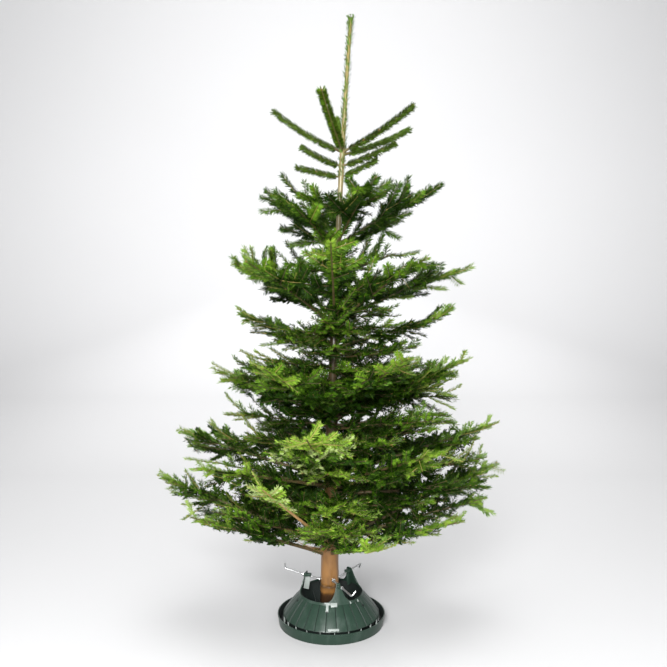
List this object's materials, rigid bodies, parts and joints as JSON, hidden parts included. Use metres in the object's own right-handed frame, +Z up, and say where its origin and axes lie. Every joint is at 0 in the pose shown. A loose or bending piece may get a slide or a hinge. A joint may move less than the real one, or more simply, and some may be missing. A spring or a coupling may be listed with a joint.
{
  "type": "cut christmas tree in a stand",
  "caption": "Cut fir with whorls of needle-clad boughs round one straight trunk, clamped upright in a dished plastic stand by hooked screws.",
  "frame": {"origin": "centre of the stand's flat underside", "axes": "+Z up along the trunk, +X to the right and -Y towards the viewer of the tree's front"},
  "size_m": [1.1867, 0.9599, 2.1471],
  "materials": {
    "trunk_bark": "smooth orange-brown bark",
    "bough_bark": "thin brown bark",
    "needles": "glossy dark green needles with pale undersides",
    "stand_plastic": "satin dark green moulding",
    "clamp_steel": "bright zinc-plated rod"
  },
  "bodies": {
    "root": {"stand_tray": "stand_plastic", "stand_funnel": "stand_plastic", "clamp_screw_left": "clamp_steel", "clamp_screw_front": "clamp_steel", "clamp_screw_back": "clamp_steel", "trunk": "trunk_bark", "needles_crown_1": "needles", "needles_crown_2": "needles", "needles_crown_3": "needles", "needles_crown_4": "needles", "needles_crown_5": "needles", "needles_collar_1": "needles", "needles_collar_2": "needles", "needles_ruff_1": "needles", "needles_ruff_2": "needles", "needles_plume_1": "needles", "needles_plume_2": "needles", "needles_plume_3": "needles", "needles_plume_4": "needles", "needles_plume_5": "needles", "needles_plume_6": "needles", "needles_upper_1": "needles", "needles_upper_2": "needles", "needles_upper_3": "needles", "needles_upper_4": "needles", "needles_upper_5": "needles", "needles_upper_6": "needles", "needles_upper_7": "needles", "needles_between_1": "needles", "needles_between_2": "needles", "needles_between_3": "needles", "needles_middle_1": "needles", "needles_middle_2": "needles", "needles_middle_3": "needles", "needles_middle_4": "needles", "needles_middle_5": "needles", "needles_middle_6": "needles", "needles_wide_1": "needles", "needles_wide_2": "needles", "needles_wide_3": "needles", "needles_wide_4": "needles", "needles_wide_5": "needles", "needles_wide_6": "needles", "needles_wide_7": "needles", "bough_low_1": "bough_bark", "needles_low_1": "needles", "bough_low_2": "bough_bark", "needles_low_2": "needles", "bough_low_3": "bough_bark", "needles_low_3": "needles", "bough_low_4": "bough_bark", "needles_low_4": "needles", "bough_low_5": "bough_bark", "needles_low_5": "needles", "bough_low_6": "bough_bark", "needles_low_6": "needles", "bough_low_7": "bough_bark", "needles_low_7": "needles", "bough_low_8": "bough_bark", "needles_low_8": "needles"}
  },
  "joints": []
}
